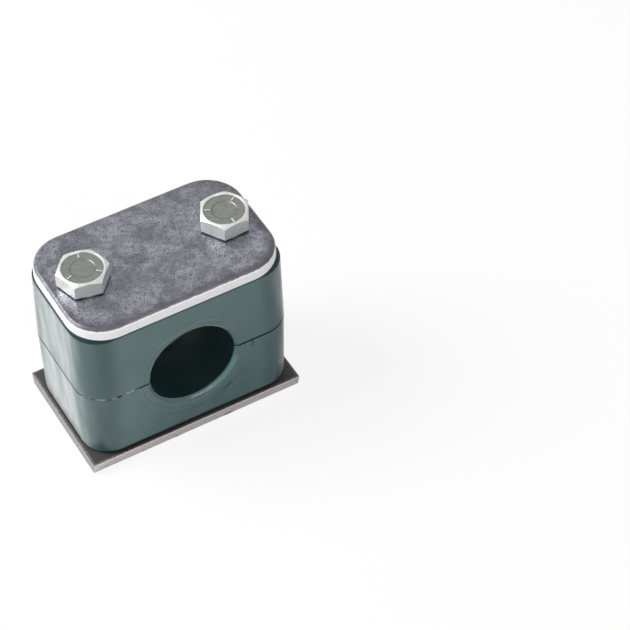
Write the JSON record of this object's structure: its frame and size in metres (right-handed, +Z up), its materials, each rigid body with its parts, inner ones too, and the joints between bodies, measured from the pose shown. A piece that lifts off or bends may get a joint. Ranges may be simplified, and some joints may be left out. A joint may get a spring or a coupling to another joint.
{
  "type": "hydraulic tube clamp",
  "caption": "Block clamp for a hydraulic tube: moulded plastic halves around a ribbed bore, bolted between a steel weld plate and a rounded cover plate.",
  "frame": {"origin": "centre of the weld plate's underside", "axes": "+X along the plates' long side, +Y along the clamped tube, +Z up from the weld plate to the bolt heads"},
  "size_m": [0.05, 0.0306, 0.046],
  "materials": {
    "body_plastic": "satin moulded polypropylene, dark green",
    "weld_steel": "phosphated, dark warm grey, sheared edges bare",
    "nut_steel": "phosphated, dark, thread bright",
    "cover_steel": "galvanised, mottled bluish grey, sheared edge light",
    "bolt_steel": "bright zinc plated"
  },
  "bodies": {
    "base": {"weld_plate": "weld_steel", "weld_nut_left": "nut_steel", "weld_nut_right": "nut_steel", "lower_half": "body_plastic"},
    "top": {"upper_half": "body_plastic", "cover_plate": "cover_steel"},
    "bolt_left": {"bolt_left": "bolt_steel"},
    "bolt_right": {"bolt_right": "bolt_steel"}
  },
  "joints": [
    {"name": "top_lift", "type": "slide", "parent": "base", "child": "top", "axis": [0, 0, 1], "range_m": [0, 0.007]},
    {"name": "bolt_left_turn", "type": "hinge", "parent": "top", "child": "bolt_left", "pos_m": [-0.0165, 0, 0.045], "axis": [0, 0, 1], "range_deg": [0, 2520]},
    {"name": "bolt_right_turn", "type": "hinge", "parent": "top", "child": "bolt_right", "pos_m": [0.0165, 0, 0.045], "axis": [0, 0, 1], "range_deg": [0, 2520]}
  ],
  "couplings": [
    {"joint": "bolt_left_turn", "follows": "top_lift", "rad_per_m": 6283.2},
    {"joint": "bolt_right_turn", "follows": "top_lift", "rad_per_m": 6283.2}
  ]
}
